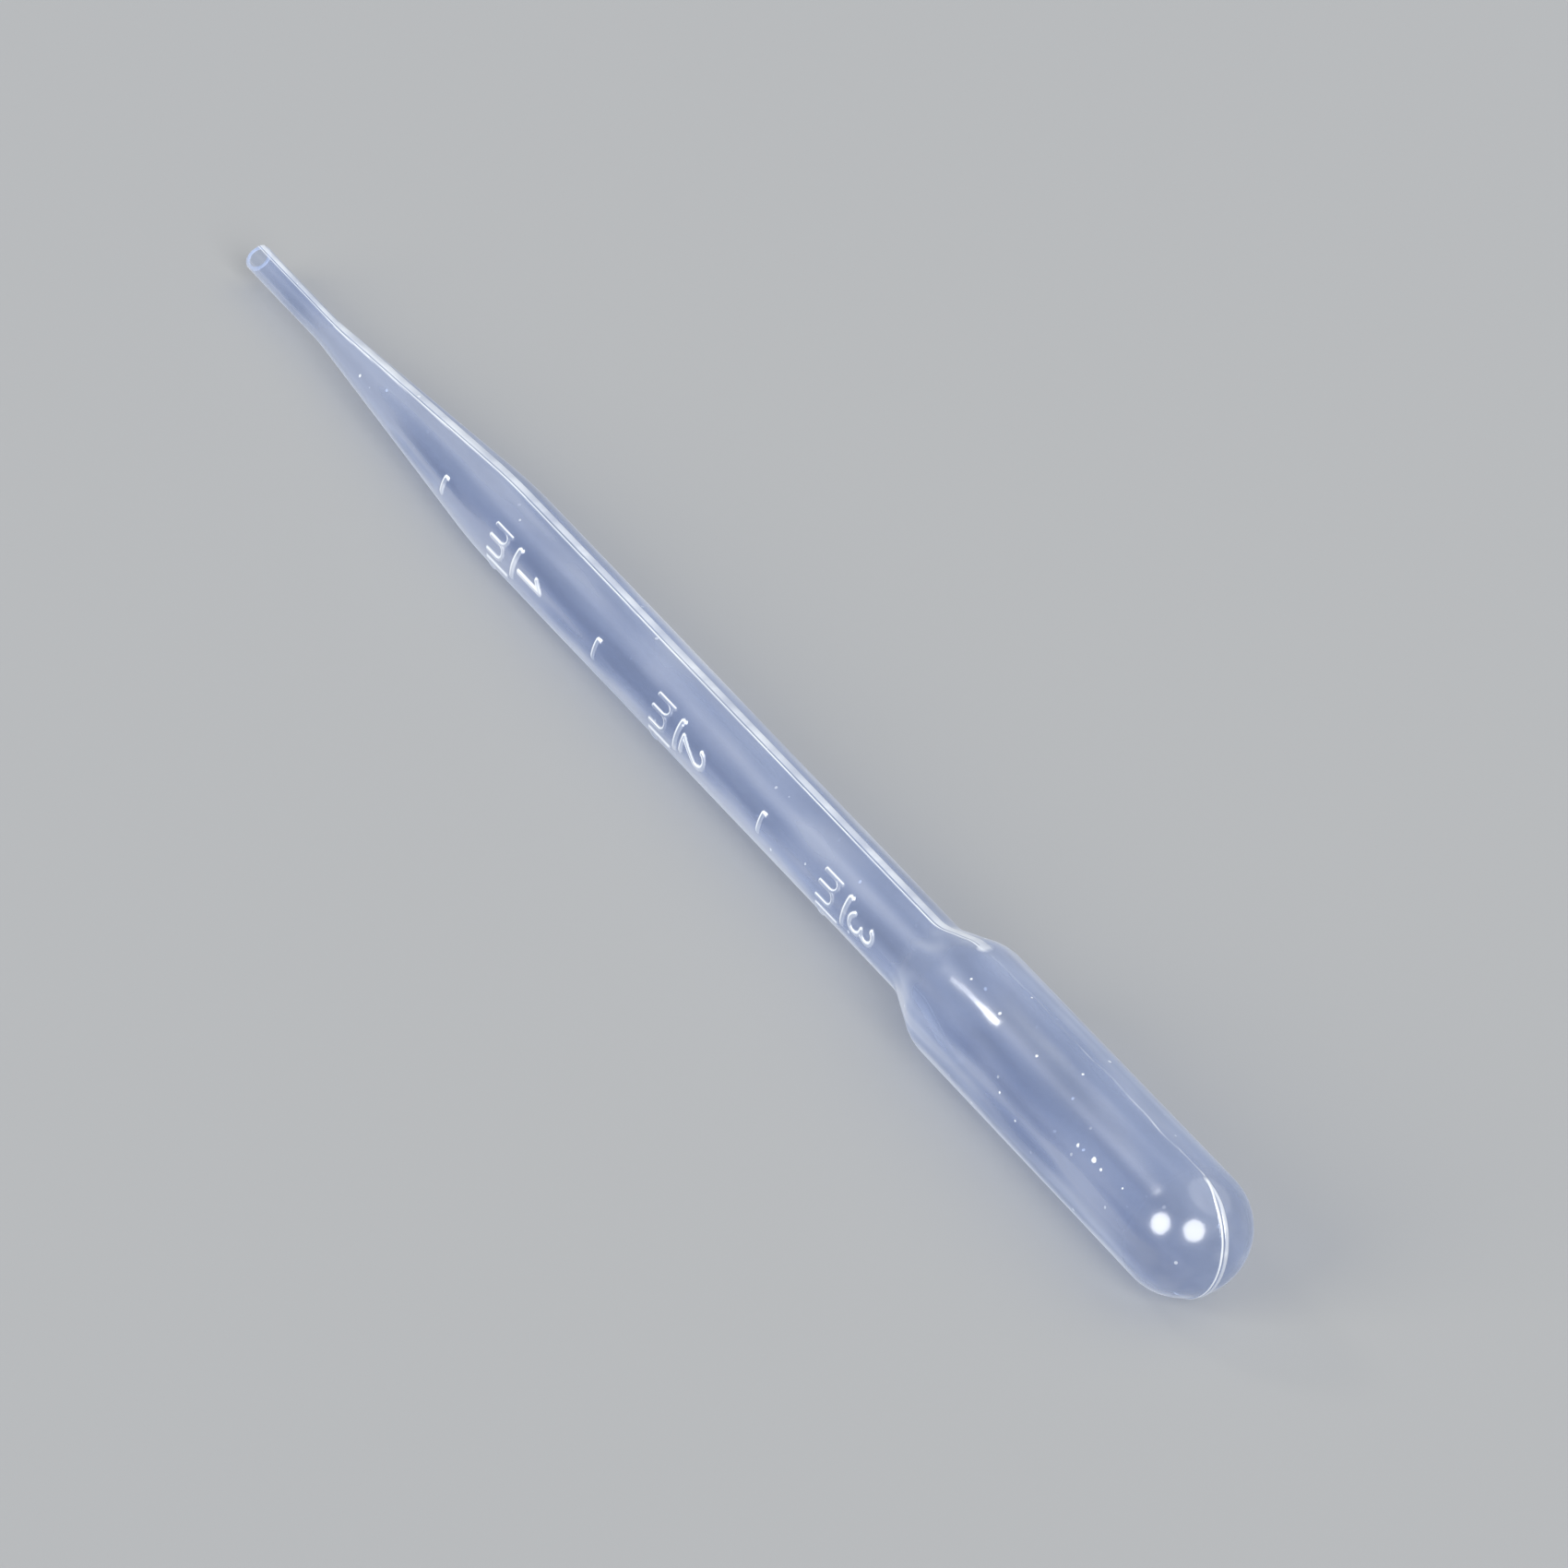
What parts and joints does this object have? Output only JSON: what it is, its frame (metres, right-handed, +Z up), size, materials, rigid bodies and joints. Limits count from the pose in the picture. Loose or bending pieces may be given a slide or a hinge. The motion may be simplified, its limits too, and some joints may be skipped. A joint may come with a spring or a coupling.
{
  "type": "transfer pipette",
  "caption": "Graduated plastic dropper pipette blown in one piece: thin open tip, tapered stem with raised volume marks, and a squeeze bulb with a round closed end.",
  "frame": {"origin": "centre of the bottom of the box round the lying pipette, on the surface that it rests on", "axes": "+Z up; +X along the pipette in plan, from the open tip to the bulb; the axis of the tube itself rises 1.49 degrees towards the bulb, because the bulb is thicker than the stem; the parting line stands upright, because the pipette lies on its lower flash land"},
  "size_m": [0.1602, 0.0118, 0.0127],
  "materials": {
    "body": "milky translucent natural low-density polyethylene, satin"
  },
  "bodies": {
    "root": {"pipette": "body"}
  },
  "joints": []
}
